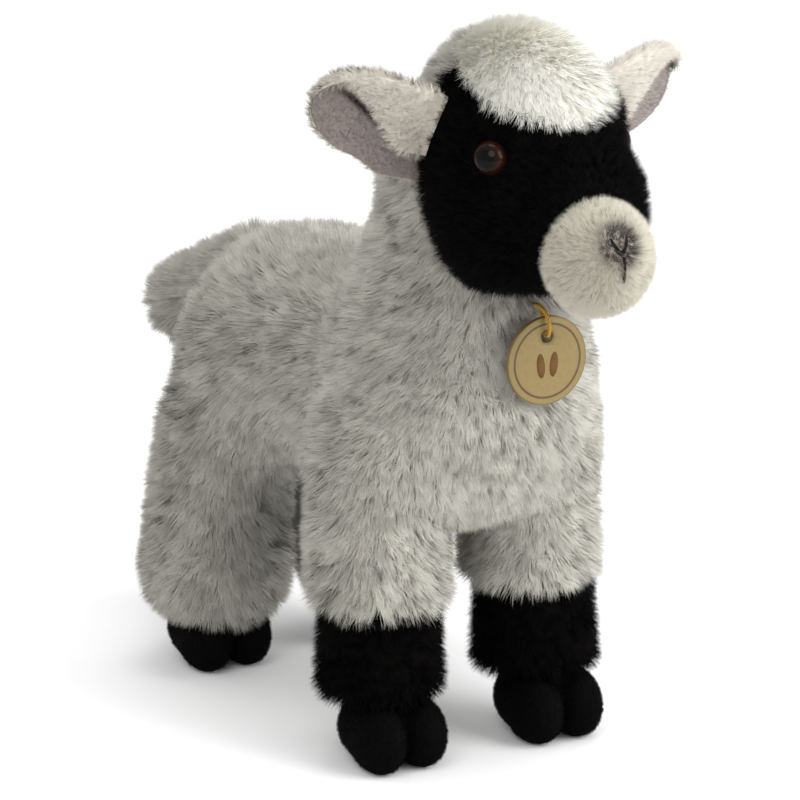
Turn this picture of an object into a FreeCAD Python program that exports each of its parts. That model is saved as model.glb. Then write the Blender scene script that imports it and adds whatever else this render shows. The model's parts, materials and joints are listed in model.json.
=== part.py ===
import FreeCAD, Part
import math
import os

# A plush toy goat kid that stands on four feet and faces -Y. Millimetres, floor at z = 0,
# x = 0 is the plane of symmetry. Every skin solid is the backing cloth together with its
# pile, so its outer face is the outline of the fur.

V = FreeCAD.Vector

# ---- driving dimensions --------------------------------------------------------------
SKIN = 5.0                 # backing cloth and pile together
SHORT_PILE = 3.0           # the velboa of hooves and ears
GAP = 0.5                  # room between two bodies that move on each other
LOOSE = 0.1                # a filling is this much smaller than the cloth around it
LEG_X = 32.0               # middle of a leg, to each side
SHOULDER_Y = -54.0         # middle of the front legs
HIP_Y = 70.0               # middle of the hind legs
PIVOT_Z = 98.0             # height of the hip and shoulder
FRONT_LEG_R = 28.0
HIND_LEG_R = 30.0
FRONT_SLEEVE_END = 56.0    # lower hem of the grey sleeve on a front leg
HIND_SLEEVE_END = 17.0
FRONT_FOOT_R = 26.0        # radius of a sleeve at its hem
HIND_FOOT_R = 27.0
LEG_CORE_R = 15.5          # filling that runs down through a cuff
CUFF_R = 23.5
CUFF_END = 25.0
CUFF_OVERLAP = 8.0         # how far the cuff runs up inside the sleeve
HOOF_X = 33.0
HOOF_FORWARD = {True: 9.0, False: -2.0}  # of the leg's middle, with and without a cuff
HOOF_TOP = 27.0
HOOF_TAPER = 0.88          # width of a lobe at the floor, against its shoulder
HEEL_R = 17.5
HEEL_BACK = 3.0
TOE_R = 11.2
TOE_APART = 8.6            # from the middle of the hoof to the middle of a toe
TOE_FORWARD = 12.8
TOE_SHOULDER = 13.0
POUCH_R = 10.5             # bag of plastic pellets that weights a foot
SOLE_THICK = 1.5
LEG_SWING = 15.0           # degrees, forward and back

NECK_BASE_Z = 158.0        # the flat seam between torso and neck
NECK_AXIS_Y = -61.0        # upright axis that the neck turns about
NECK_R = 49.5

HEAD = V(0, -96, 231)      # middle of the head, which the nod turns about
HEAD_HALF_WIDTH = 39.0
HEAD_R = 48.5              # seen from the side the head is a circle
MUZZLE = V(0, -149, 204)
MUZZLE_SEMI = (20.5, 20.5, 21.5)
SNOUT = V(0, -127, 212)    # round base that carries the muzzle
SNOUT_R = 28.5
NOD_DOWN = 10.0            # degrees

EYE = V(31.2, -124.7, 237)
EYE_R = 6.2
EAR_ROOT = V(37.0, -95, 241)
EAR_DIRECTION = V(0.90, 0.22, 0.37)
EAR_SEMI = (26.0, 18.0, 7.5)   # along, across and through the ear
EAR_MIDDLE = 20.0          # from the root seam to the middle of the leaf
EAR_POCKET = (13.0, 16.0, 12.0)  # room for the root seam as the ear folds

TAIL_ROOT = V(0, 97, 150)
TAIL_DIRECTION = V(0, 0.876, -0.481)
TAIL_LENGTH = 67.0
TAIL_R = 16.5
TAIL_BALL = 13.0

TAG_R = 16.0
TAG_Y = -116.4             # front face of the tag
TAG_Z = 159.5
LEAF = 0.9
TAG_HOLE_Z = 168.2
TAG_HOLE_R = 2.4
CORD_R = 0.8
CORD_EXIT = V(0, -109.8, 178.0)
# the cord leaves the throat, goes through the tag and back up over its front
CORD_ROUTE = [
    V(0.95, -108.6, 178.0), V(0.95, -110.4, 177.2), V(0.8, -112.0, 174.6), V(0.6, -112.6, 171.4),
    V(0.3, -113.5, 169.0), V(0.0, -115.5, 168.2), V(-0.3, -117.6, 169.0), V(-0.6, -118.6, 171.6),
    V(-0.8, -118.5, 174.8), V(-0.9, -116.4, 177.3), V(-0.95, -113.2, 178.7), V(-0.95, -110.6, 178.8),
    V(-0.95, -108.6, 178.2),
]

# torso outline, one station per line: y, underside, back, half width
TORSO_STATIONS = [
    (103, 121, 138, 10), (99, 108, 149, 25), (88, 95, 161, 38), (72, 86, 170, 47),
    (50, 82, 174, 50), (20, 82, 175, 47), (-8, 82, 176, 46), (-35, 81, 190, 48.5),
    (-62, 82, 196, 49.5), (-84, 88, 190, 43), (-98, 101, 179, 30), (-105, 118, 164, 13),
]
# neck outline, one station per line: z, middle y, half width, half depth
NECK_STATIONS = [
    (NECK_BASE_Z + GAP, NECK_AXIS_Y, 47, 48.5), (172, -62, 44.5, 47), (188, -66, 39, 44),
    (205, -70, 36, 41), (225, -77, 33, 36), (243, -86, 24, 26),
]

os.makedirs("parts", exist_ok=True)
nodes = {}


def mirrored(shape):
    return shape.mirror(V(0, 0, 0), V(1, 0, 0))


def ellipsoid(centre, semi, poles_forward=False):
    """Its two poles lie above and below the middle, or in front of it and behind."""
    matrix = FreeCAD.Matrix()
    matrix.scale(*semi)
    shape = Part.makeSphere(1.0)
    if poles_forward:
        shape.rotate(V(0, 0, 0), V(1, 0, 0), 90)
    shape = shape.transformGeometry(matrix)
    shape.translate(centre)
    return shape


def ball(centre, radius):
    return Part.makeSphere(radius, centre)


def box(low, high):
    size = V(*high) - V(*low)
    return Part.makeBox(size.x, size.y, size.z, V(*low))


def upright(profile, x, y):
    """A solid of revolution about an upright axis from (radius, height) corners."""
    wire = Part.makePolygon([V(r, 0, z) for r, z in profile + profile[:1]])
    solid = Part.Face(wire).revolve(V(0, 0, 0), V(0, 0, 1), 360)
    solid.translate(V(x, y, 0))
    return solid


def leg_solid(x, y, radius, bottom, foot_radius, shrink=0.0):
    """A leg with a round shoulder at the pivot that narrows to foot_radius at the bottom."""
    r = radius - shrink
    foot = foot_radius - shrink
    top = V(0, 0, PIVOT_Z + r)
    bend = V(r * math.sin(math.radians(45)), 0, PIVOT_Z + r * math.cos(math.radians(45)))
    side = V(r, 0, PIVOT_Z)
    edges = [
        Part.Arc(top, bend, side).toShape(),
        Part.LineSegment(side, V(foot, 0, bottom)).toShape(),
        Part.LineSegment(V(foot, 0, bottom), V(0, 0, bottom)).toShape(),
        Part.LineSegment(V(0, 0, bottom), top).toShape(),
    ]
    solid = Part.Face(Part.Wire(edges)).revolve(V(0, 0, 0), V(0, 0, 1), 360)
    solid.translate(V(x, y, 0))
    return solid


def oval(centre, half_u, half_v, direction_u, direction_v):
    """A closed smooth curve through points of an ellipse, always starting at +u."""
    count = 16
    points = []
    for k in range(count):
        turn = 2.0 * math.pi * k / count
        along_u = direction_u * (half_u * math.cos(turn))
        along_v = direction_v * (half_v * math.sin(turn))
        points.append(centre + along_u + along_v)
    curve = Part.BSplineCurve()
    curve.interpolate(points, PeriodicFlag=True)
    return Part.Wire(curve.toShape())


def torso_loft(shrink):
    wires = []
    for y, low, high, half_width in TORSO_STATIONS:
        y_in = y * (1.0 - shrink / 104.0)
        keep = 1.0 - shrink / 46.0
        centre = V(0, y_in, (low + high) / 2.0)
        half_height = (high - low) / 2.0 * keep
        wires.append(oval(centre, half_width * keep, half_height, V(1, 0, 0), V(0, 0, 1)))
    return Part.makeLoft(wires, True, False)


def neck_loft(shrink):
    wires = []
    for z, y, half_width, half_depth in NECK_STATIONS:
        wires.append(oval(V(0, y, z), half_width - shrink, half_depth - shrink, V(1, 0, 0), V(0, 1, 0)))
    return Part.makeLoft(wires, True, False)


# ---- legs ----------------------------------------------------------------------------
def swept_room(x, y, radius):
    """The room that a leg needs in the torso over its whole swing: a ball about the pivot,
    and a skirt that lies against the ball all round."""
    reach = 60.0
    flare = math.radians(LEG_SWING + 1.0)
    room = ball(V(x, y, PIVOT_Z), radius + GAP)
    rise = radius * math.sin(flare)
    narrow = radius * math.cos(flare) + 2 * GAP
    wide = narrow + (reach + rise) * math.tan(flare)
    skirt = Part.makeCone(wide, narrow, reach + rise, V(x, y, PIVOT_Z - reach))
    return room.fuse(skirt)


def hoof_post(x, y, radius, shoulder, bottom, shrink):
    """One lobe of a hoof: a post that widens up to its shoulder, with a round top."""
    r = radius - shrink
    side = V(r, 0, shoulder)
    bend = V(r * math.sqrt(0.5), 0, shoulder + r * math.sqrt(0.5))
    top = V(0, 0, shoulder + r)
    foot = V(HOOF_TAPER * r, 0, bottom)
    edges = [
        Part.LineSegment(V(0, 0, bottom), foot).toShape(),
        Part.LineSegment(foot, side).toShape(),
        Part.Arc(side, bend, top).toShape(),
        Part.LineSegment(top, V(0, 0, bottom)).toShape(),
    ]
    post = Part.Face(Part.Wire(edges)).revolve(V(0, 0, 0), V(0, 0, 1), 360)
    post.translate(V(x, y, 0))
    return post


def hoof_lobes(x, y, shrink, bottom):
    """A round heel and two toes side by side with a cleft between them, flat underneath."""
    lobes = hoof_post(x, y + HEEL_BACK, HEEL_R, HOOF_TOP - HEEL_R, bottom, shrink)
    for side in (-1, 1):
        toe = hoof_post(x + side * TOE_APART, y - TOE_FORWARD, TOE_R, TOE_SHOULDER, bottom, shrink)
        lobes = lobes.fuse(toe)
    return lobes


def make_right_leg(y, radius, sleeve_end, foot_radius, cuffed):
    """The pieces of a leg on the goat's right side, by name."""
    pieces = {}
    x = -LEG_X
    sleeve_outer = leg_solid(x, y, radius, sleeve_end, foot_radius)
    sleeve_inner = leg_solid(x, y, radius, sleeve_end, foot_radius, SKIN)
    hoof_x = -HOOF_X
    hoof_y = y - HOOF_FORWARD[cuffed]
    hoof = hoof_lobes(hoof_x, hoof_y, 0.0, SOLE_THICK)
    hollow = hoof_lobes(hoof_x, hoof_y, SHORT_PILE, SOLE_THICK)
    sole = hoof_lobes(hoof_x, hoof_y, 0.0, 0.0)
    sole = sole.common(box((hoof_x - 40, hoof_y - 40, 0), (hoof_x + 40, hoof_y + 40, SOLE_THICK)))
    if cuffed:
        cuff_top = sleeve_end + CUFF_OVERLAP
        cuff = upright([(0, CUFF_END), (CUFF_R + 1.0, CUFF_END), (CUFF_R, cuff_top), (0, cuff_top)], x, y)
        bore = Part.makeCylinder(LEG_CORE_R, PIVOT_Z, V(x, y, 0))
        cuff = cuff.cut(bore).cut(hoof_lobes(hoof_x, hoof_y, 0.0, 0.0))
        sleeve = sleeve_outer.cut(sleeve_inner).cut(cuff)
        fill = sleeve_inner.cut(cuff)
        column = Part.makeCylinder(LEG_CORE_R, cuff_top - HOOF_TOP, V(x, y, HOOF_TOP))
        stuffing = fill.fuse(column)
        pieces["cuff"] = cuff
    else:
        sleeve = sleeve_outer.cut(sleeve_inner).cut(hoof)
        stuffing = sleeve_inner.cut(hoof_lobes(hoof_x, hoof_y, 0.0, 0.0))
    pouch = ball(V(hoof_x, hoof_y + HEEL_BACK, SOLE_THICK + LOOSE + POUCH_R), POUCH_R)
    shell = hoof.cut(hollow)
    pieces["sleeve"] = sleeve
    pieces["hoof"] = shell
    pieces["sole"] = sole
    pieces["stuffing"] = stuffing
    pieces["pellet_pouch"] = pouch
    return pieces


front_leg = make_right_leg(SHOULDER_Y, FRONT_LEG_R, FRONT_SLEEVE_END, FRONT_FOOT_R, True)
hind_leg = make_right_leg(HIP_Y, HIND_LEG_R, HIND_SLEEVE_END, HIND_FOOT_R, False)
for leg_name, leg in (("front_leg", front_leg), ("hind_leg", hind_leg)):
    for piece_name, piece in leg.items():
        nodes[leg_name + "_right_" + piece_name] = piece
        nodes[leg_name + "_left_" + piece_name] = mirrored(piece)
rooms = [
    swept_room(side * LEG_X, y, radius)
    for side in (-1, 1)
    for y, radius in ((SHOULDER_Y, FRONT_LEG_R), (HIP_Y, HIND_LEG_R))
]


# ---- neck ----------------------------------------------------------------------------
def head_solid(grow, poles_forward=False):
    return ellipsoid(HEAD, (HEAD_HALF_WIDTH + grow, HEAD_R + grow, HEAD_R + grow), poles_forward)


def split_sides(shell, name):
    right_half = shell.common(box((-200, -300, -10), (0, 300, 400)))
    nodes[name + "_right"] = right_half
    nodes[name + "_left"] = mirrored(right_half)


neck_outer = neck_loft(0.0)
neck_inner = neck_loft(SKIN)
head_room = head_solid(GAP)
for step in range(5):
    snout = ball(SNOUT, SNOUT_R + 1.0)
    snout.rotate(HEAD, V(1, 0, 0), NOD_DOWN * step / 4.0)
    head_room = head_room.fuse(snout)
cord_room = ball(CORD_EXIT, 3.2)
split_sides(neck_outer.cut(neck_inner).cut(head_room).cut(cord_room), "neck_panel")
nodes["neck_stuffing"] = neck_loft(SKIN + LOOSE).cut(head_room).cut(cord_room)


# ---- tail ----------------------------------------------------------------------------
def tail_solid(shrink):
    direction = V(TAIL_DIRECTION).normalize()
    tip = TAIL_ROOT + direction * (TAIL_LENGTH - TAIL_R)
    length = (tip - TAIL_ROOT).Length
    cone = Part.makeCone(TAIL_BALL - shrink, TAIL_R - shrink, length, TAIL_ROOT, direction)
    root = ball(TAIL_ROOT, TAIL_BALL - shrink)
    end = ball(tip, TAIL_R - shrink)
    return cone.fuse(root).fuse(end).removeSplitter()


tail_outer = tail_solid(0.0)
tail_inner = tail_solid(SKIN)
tail_skin = tail_outer.cut(tail_inner)
tilt = math.degrees(math.atan2(TAIL_DIRECTION.z, TAIL_DIRECTION.y))
upper_half = Part.makeBox(200, 200, 100)
upper_half.translate(V(-100, -100, 0))
upper_half.rotate(V(0, 0, 0), V(1, 0, 0), tilt)
upper_half.translate(TAIL_ROOT)
nodes["tail_panel_upper"] = tail_skin.common(upper_half)
nodes["tail_panel_lower"] = tail_skin.cut(upper_half)
nodes["tail_stuffing"] = tail_inner

# ---- torso ---------------------------------------------------------------------------
torso_outer = torso_loft(0.0)
torso_inner = torso_loft(SKIN)
torso_filling = torso_loft(SKIN + LOOSE)
neck_room = Part.makeCylinder(NECK_R + GAP, 60, V(0, NECK_AXIS_Y, NECK_BASE_Z))
tail_room = ball(TAIL_ROOT, TAIL_BALL + 5 * GAP)
tail_mouth = TAIL_BALL + 10 * GAP
tail_reach = 42.0
tail_flare = Part.makeCone(tail_mouth, tail_mouth + tail_reach, tail_reach, TAIL_ROOT, V(0, 1, -0.3))
torso_skin = torso_outer.cut(torso_inner)
for room in rooms + [neck_room, tail_room, tail_flare]:
    torso_skin = torso_skin.cut(room)
    torso_filling = torso_filling.cut(room)
belly_zone = box((-18, -46, 60), (18, 72, 93))
nodes["belly_gusset"] = torso_skin.common(belly_zone)
split_sides(torso_skin.cut(belly_zone), "torso_panel")
nodes["torso_stuffing"] = torso_filling

# ---- head ----------------------------------------------------------------------------
muzzle_outer = ellipsoid(MUZZLE, MUZZLE_SEMI)
muzzle_inner = ellipsoid(MUZZLE, tuple(s - SKIN for s in MUZZLE_SEMI))
head_outer = head_solid(0.0).fuse(ellipsoid(SNOUT, (SNOUT_R,) * 3))
head_inner = head_solid(-SKIN).fuse(ellipsoid(SNOUT, (SNOUT_R - SKIN,) * 3))
head_skin = head_outer.cut(head_inner).cut(muzzle_inner)


def ear_frame(side):
    """Root point, direction along the ear, across it and out of its open face."""
    along = V(side * EAR_DIRECTION.x, EAR_DIRECTION.y, EAR_DIRECTION.z).normalize()
    across = V(0, -0.25, 1.0)
    across = (across - along * across.dot(along)).normalize()
    facing = along.cross(across) * side
    return V(side * EAR_ROOT.x, EAR_ROOT.y, EAR_ROOT.z), along, across, facing


def on_frame(shape, origin, along, across, facing):
    matrix = FreeCAD.Matrix(
        along.x, across.x, facing.x, origin.x,
        along.y, across.y, facing.y, origin.y,
        along.z, across.z, facing.z, origin.z,
        0, 0, 0, 1)
    return shape.transformGeometry(matrix)


def make_ear(side, side_name):
    origin, along, across, facing = ear_frame(side)
    a, b, c = EAR_SEMI
    half_space = box((0.5, -60, -60), (100, 60, 60))
    leaf = ellipsoid(V(EAR_MIDDLE, 0, 0), EAR_SEMI).common(half_space)
    scoop = ellipsoid(V(EAR_MIDDLE + 1.0, 0, c - 2.0), (a - 4.0, b - 4.0, c - 0.5))
    hollow = ellipsoid(V(EAR_MIDDLE + 1.0, 0, c), (a - 4.0, b - 4.0, c - 0.5))
    outer = leaf.cut(scoop)
    lining = scoop.cut(hollow).common(leaf)
    nodes["ear_outer_" + side_name] = on_frame(outer, origin, along, across, facing)
    nodes["ear_lining_" + side_name] = on_frame(lining, origin, along, across, facing)
    print("ear", side_name, "hinge along", across, "at", origin)
    return on_frame(ellipsoid(V(0, 0, 0), EAR_POCKET), origin, along, across, facing)


def make_eye(side, side_name):
    """A moulded eye: clear dome, painted disc behind it, and a shank with its washer."""
    centre = V(side * EYE.x, EYE.y, EYE.z)
    from_middle = centre - HEAD
    squeezed = HEAD_R / HEAD_HALF_WIDTH
    outward = V(from_middle.x * squeezed ** 2, from_middle.y, from_middle.z).normalize()
    base = centre - outward * 2.6
    cap = ball(centre - outward * 3.2, EYE_R)
    front = Part.makeCylinder(EYE_R, 12, base, outward)
    dome = cap.common(front)
    disc = Part.makeCylinder(EYE_R - 0.1, 1.2, base - outward * 1.2, outward)
    shank = Part.makeCylinder(1.8, 9.0, base - outward * 10.2, outward)
    washer = Part.makeCylinder(6.0, 1.2, base - outward * 8.4, outward)
    fixing = shank.fuse(washer)
    nodes["eye_dome_" + side_name] = dome
    nodes["eye_disc_" + side_name] = disc
    nodes["eye_shank_" + side_name] = fixing
    pocket = Part.makeCylinder(EYE_R + 0.02, 12, base - outward * 1.2, outward)
    return pocket, fixing


filling = -SKIN - LOOSE
head_stuffing = head_solid(filling, True).fuse(ellipsoid(SNOUT, (SNOUT_R + filling,) * 3, True))
head_stuffing = head_stuffing.fuse(ellipsoid(MUZZLE, tuple(s + filling for s in MUZZLE_SEMI), True))
head_rooms = []
for side, side_name in ((-1, "right"), (1, "left")):
    head_rooms.append(make_ear(side, side_name))
    eye_rooms = make_eye(side, side_name)
    head_rooms.extend(eye_rooms)
    for room in eye_rooms:
        head_stuffing = head_stuffing.cut(room)


def thread(points, radius):
    """A stitched line of thick thread along straight runs with round corners."""
    solid = None
    for a, b in zip(points, points[1:]):
        run = Part.makeCylinder(radius, (b - a).Length, a, b - a)
        for piece in (run, ball(a, radius), ball(b, radius)):
            solid = piece if solid is None else solid.fuse(piece)
    return solid


def on_muzzle(x, z):
    """The point of the muzzle's face at x and z."""
    a, b, c = MUZZLE_SEMI
    inside = 1.0 - (x / a) ** 2 - ((z - MUZZLE.z) / c) ** 2
    return V(x, MUZZLE.y - b * math.sqrt(inside), z)


NOSTRILS = [(-5, 214), (-2.5, 211), (0, 209.5), (2.5, 211), (5, 214)]
nostrils = thread([on_muzzle(x, z) for x, z in NOSTRILS], 0.9)
mouth = thread([on_muzzle(0, 207.0), on_muzzle(0, 203.5), on_muzzle(0, 199.5)], 0.7)
muzzle_skin = muzzle_outer.cut(muzzle_inner).cut(head_outer).cut(nostrils).cut(mouth)
nodes["muzzle_panel"] = muzzle_skin
nodes["nose_stitch"] = nostrils
nodes["mouth_stitch"] = mouth
nodes["head_stuffing"] = head_stuffing

CROWN_FRONT = (-142.0, 247.0)
CROWN_SLOPE = 0.45
CROWN_BACK_Y = -78.0
BACK_PANEL_Y = -84.0


def above_plane(y0, z0, slope):
    """Everything above a plane that runs along X and rises towards the back by slope."""
    block = Part.makeBox(200, 300, 150)
    block.translate(V(-100, -150, 0))
    block.rotate(V(0, 0, 0), V(1, 0, 0), math.degrees(math.atan(slope)))
    block.translate(V(0, y0, z0))
    return block


crown_zone = above_plane(CROWN_FRONT[0], CROWN_FRONT[1], CROWN_SLOPE)
crown_zone = crown_zone.common(box((-100, -300, 0), (100, CROWN_BACK_Y, 400)))
back_zone = box((-100, BACK_PANEL_Y, 0), (100, 100, 400))
crown = head_skin.common(crown_zone)
rest_of_skin = head_skin.cut(crown_zone)
back_panel = rest_of_skin.common(back_zone)
face = rest_of_skin.cut(back_zone)
for room in head_rooms:
    crown = crown.cut(room)
    back_panel = back_panel.cut(room)
    face = face.cut(room)
nodes["crown_patch"] = crown
nodes["head_back_panel"] = back_panel
split_sides(face, "face_panel")

# ---- care label ----------------------------------------------------------------------
LABEL_THICK = 0.6
label = box((-LABEL_THICK / 2, 76, 76), (LABEL_THICK / 2, 90, 98))
nodes["care_label"] = label.cut(torso_outer)


# ---- tag -----------------------------------------------------------------------------
def leaf_solid(front_y):
    disc = Part.makeCylinder(TAG_R, LEAF, V(0, front_y, TAG_Z), V(0, 1, 0))
    hole = Part.makeCylinder(TAG_HOLE_R, 10, V(0, front_y - 5, TAG_HOLE_Z), V(0, 1, 0))
    return disc.cut(hole)


nodes["tag_front_leaf"] = leaf_solid(TAG_Y)
nodes["tag_back_leaf"] = leaf_solid(TAG_Y + LEAF)


def round_path(points):
    """Straight runs joined by tangent arcs, each as large as its two runs allow."""
    edges = []
    start = points[0]
    radii = []
    for before, corner, after in zip(points, points[1:], points[2:]):
        back = (before - corner)
        ahead = (after - corner)
        cut = 0.45 * min(back.Length, ahead.Length)
        entry = corner + V(back).normalize() * cut
        leave = corner + V(ahead).normalize() * cut
        half = (V(back).normalize() + V(ahead).normalize()).normalize()
        half_angle = back.getAngle(ahead) / 2.0
        radius = cut * math.tan(half_angle)
        centre = corner + half * (radius / math.sin(half_angle))
        middle = centre - half * radius
        edges.append(Part.LineSegment(start, entry).toShape())
        edges.append(Part.Arc(entry, middle, leave).toShape())
        radii.append(round(radius, 2))
        start = leave
    edges.append(Part.LineSegment(start, points[-1]).toShape())
    print("cord radii", radii)
    return Part.Wire(edges)


def tube(path, radius):
    circle = Part.Wire(Part.makeCircle(radius, path.Vertexes[0].Point, path.Edges[0].tangentAt(0)))
    return path.makePipeShell([circle], True, False)


cord_path = round_path(CORD_ROUTE)
nodes["tag_cord"] = tube(cord_path, CORD_R)
print("cord length", round(cord_path.Length, 2), "volume", round(nodes["tag_cord"].Volume, 2),
      "section times length", round(math.pi * CORD_R ** 2 * cord_path.Length, 2))

# ---- the whole toy is moved so that the middle of its box is at y = 0 -------------------
whole = FreeCAD.BoundBox()
for shape in nodes.values():
    whole.add(shape.optimalBoundingBox())
frame_shift = -(whole.YMin + whole.YMax) / 2.0
print("box", whole, "moved along Y by", round(frame_shift, 4))
for name, shape in sorted(nodes.items()):
    shape.translate(V(0, frame_shift, 0))
    shape.exportStep(os.path.join("parts", name + ".step"))
    print(name, len(shape.Solids), shape.isValid(), round(shape.Volume, 1))
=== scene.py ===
import bpy
import json
import math
import numpy as np
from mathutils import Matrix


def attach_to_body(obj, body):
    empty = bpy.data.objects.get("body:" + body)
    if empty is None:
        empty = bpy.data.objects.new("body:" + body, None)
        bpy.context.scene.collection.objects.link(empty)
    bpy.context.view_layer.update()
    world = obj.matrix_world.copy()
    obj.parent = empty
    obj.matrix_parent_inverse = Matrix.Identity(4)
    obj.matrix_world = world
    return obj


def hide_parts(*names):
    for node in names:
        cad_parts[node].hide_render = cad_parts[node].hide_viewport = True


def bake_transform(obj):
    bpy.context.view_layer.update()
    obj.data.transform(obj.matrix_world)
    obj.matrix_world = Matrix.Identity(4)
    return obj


# A plush goat kid: sewn skins with real pile, moulded eyes, stitched nose and a hang tag.
# Shapes are worked out in millimetres in the design frame of the CAD part, whose head
# turns about HEAD; to_frame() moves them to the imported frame, in metres.

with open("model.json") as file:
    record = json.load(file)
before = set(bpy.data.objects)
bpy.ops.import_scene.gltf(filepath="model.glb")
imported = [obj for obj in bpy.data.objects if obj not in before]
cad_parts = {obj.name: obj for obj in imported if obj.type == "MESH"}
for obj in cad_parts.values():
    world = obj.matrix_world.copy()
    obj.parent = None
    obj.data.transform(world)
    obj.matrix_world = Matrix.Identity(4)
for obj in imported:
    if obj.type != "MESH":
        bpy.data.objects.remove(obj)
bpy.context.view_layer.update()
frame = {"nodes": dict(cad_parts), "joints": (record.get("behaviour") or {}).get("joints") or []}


def joint_point(name):
    joint = next(j for j in frame["joints"] if j["name"] == name)
    return np.array(joint["pos_m"]) * 1000.0


HEAD = np.array([0.0, -96.0, 231.0])
SHIFT = joint_point("head_nod") - HEAD


def to_frame(points):
    return (np.asarray(points, float) + SHIFT) * 0.001


# ---- distance fields -----------------------------------------------------------------
def ellipsoid(p, centre, semi):
    q = (p - np.asarray(centre, np.float32)) / np.asarray(semi, np.float32)
    k0 = np.sqrt((q * q).sum(-1)) + 1e-6
    q2 = q / np.asarray(semi, np.float32)
    k1 = np.sqrt((q2 * q2).sum(-1)) + 1e-9
    return k0 * (k0 - 1.0) / k1


def round_cone(p, a, b, ra, rb, flat=1.0):
    """A cone with round ends; flat squeezes it across X."""
    a = np.asarray(a, np.float32)
    ab = np.asarray(b, np.float32) - a
    q = p - a
    if flat != 1.0:
        q = q * np.array([1.0 / flat, 1, 1], np.float32)
    t = np.clip((q @ ab) / float(ab @ ab), 0, 1)
    away = q - t[..., None] * ab
    return np.sqrt((away * away).sum(-1)) - (ra + (rb - ra) * t)


def join(a, b, k):
    """Smooth union."""
    h = np.clip(0.5 + 0.5 * (b - a) / k, 0, 1)
    return b + (a - b) * h - k * h * (1 - h)


def both(p):
    """Folds the left side onto the right, so that one shape serves for two."""
    q = np.array(p, np.float32, copy=True)
    q[..., 0] = -np.abs(q[..., 0])
    return q


LEG_X = 32.0
FRONT_LEG_Y = -54.0
HIND_LEG_Y = 70.0
MIDDLE_Y = 5.0                  # halfway between the front and the hind legs


def torso_field(p):
    d = ellipsoid(p, (0, 50, 126), (49, 52, 47))
    d = join(d, ellipsoid(p, (0, 2, 128), (45, 84, 46)), 10)
    return join(d, ellipsoid(p, (0, -56, 134), (47.5, 46.5, 51)), 12)


def neck_field(p):
    d = round_cone(p, (0, -60, 150), (0, -71, 205), 49.5, 39.5, 0.93)
    return join(d, ellipsoid(p, (0, -70, 224), (33, 35, 32)), 12)


def front_leg_field(p):
    d = round_cone(p, (-LEG_X, FRONT_LEG_Y, 112), (-LEG_X - 0.5, FRONT_LEG_Y, 62), 27.5, 28.0)
    return join(d, ellipsoid(p, (-28, FRONT_LEG_Y - 3, 118), (26, 30, 34)), 10)


def hind_leg_field(p):
    d = round_cone(p, (-LEG_X, HIND_LEG_Y - 6, 92), (-LEG_X - 1, HIND_LEG_Y, 40), 27.0, 30.5)
    return join(d, ellipsoid(p, (-25, 56, 112), (27, 32, 40)), 12)


LEFT_SLIMMER = 1.05             # the left side is stuffed a little less than the right


def grey_field(p):
    q = both(p)
    q[..., 0] *= np.where(p[..., 0] > 0, LEFT_SLIMMER, 1.0)
    d = join(torso_field(q), neck_field(q), 16)
    d = join(d, front_leg_field(q), 11)
    d = join(d, hind_leg_field(q), 12)
    hem = np.where(q[..., 1] < MIDDLE_Y, 56.0 - q[..., 2], 18.0 - q[..., 2])
    return np.maximum(d, hem)


def head_field(p):
    q = both(p)
    d = ellipsoid(q, HEAD, (38.5, 47.5, 48.5))
    d = join(d, ellipsoid(q, (0, -126.5, 211.5), (28, 27, 29)), 12)
    return join(d, ellipsoid(q, (-20.5, -111, 210.5), (19.5, 25, 26)), 12)


MUZZLE = np.array([0.0, -149.0, 204.0])
MUZZLE_SEMI = np.array([20.5, 20.5, 21.5])


def muzzle_field(p):
    return ellipsoid(p, MUZZLE, MUZZLE_SEMI)


TAIL_ROOT = np.array([0.0, 97.0, 150.0])
TAIL_ALONG = np.array([0.0, 0.876, -0.481])
TAIL_ALONG /= np.linalg.norm(TAIL_ALONG)
TAIL_END = TAIL_ROOT + TAIL_ALONG * 62.0


def tail_field(p):
    return round_cone(p, TAIL_ROOT - TAIL_ALONG * 4, TAIL_END, 13.5, 18.5)


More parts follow.
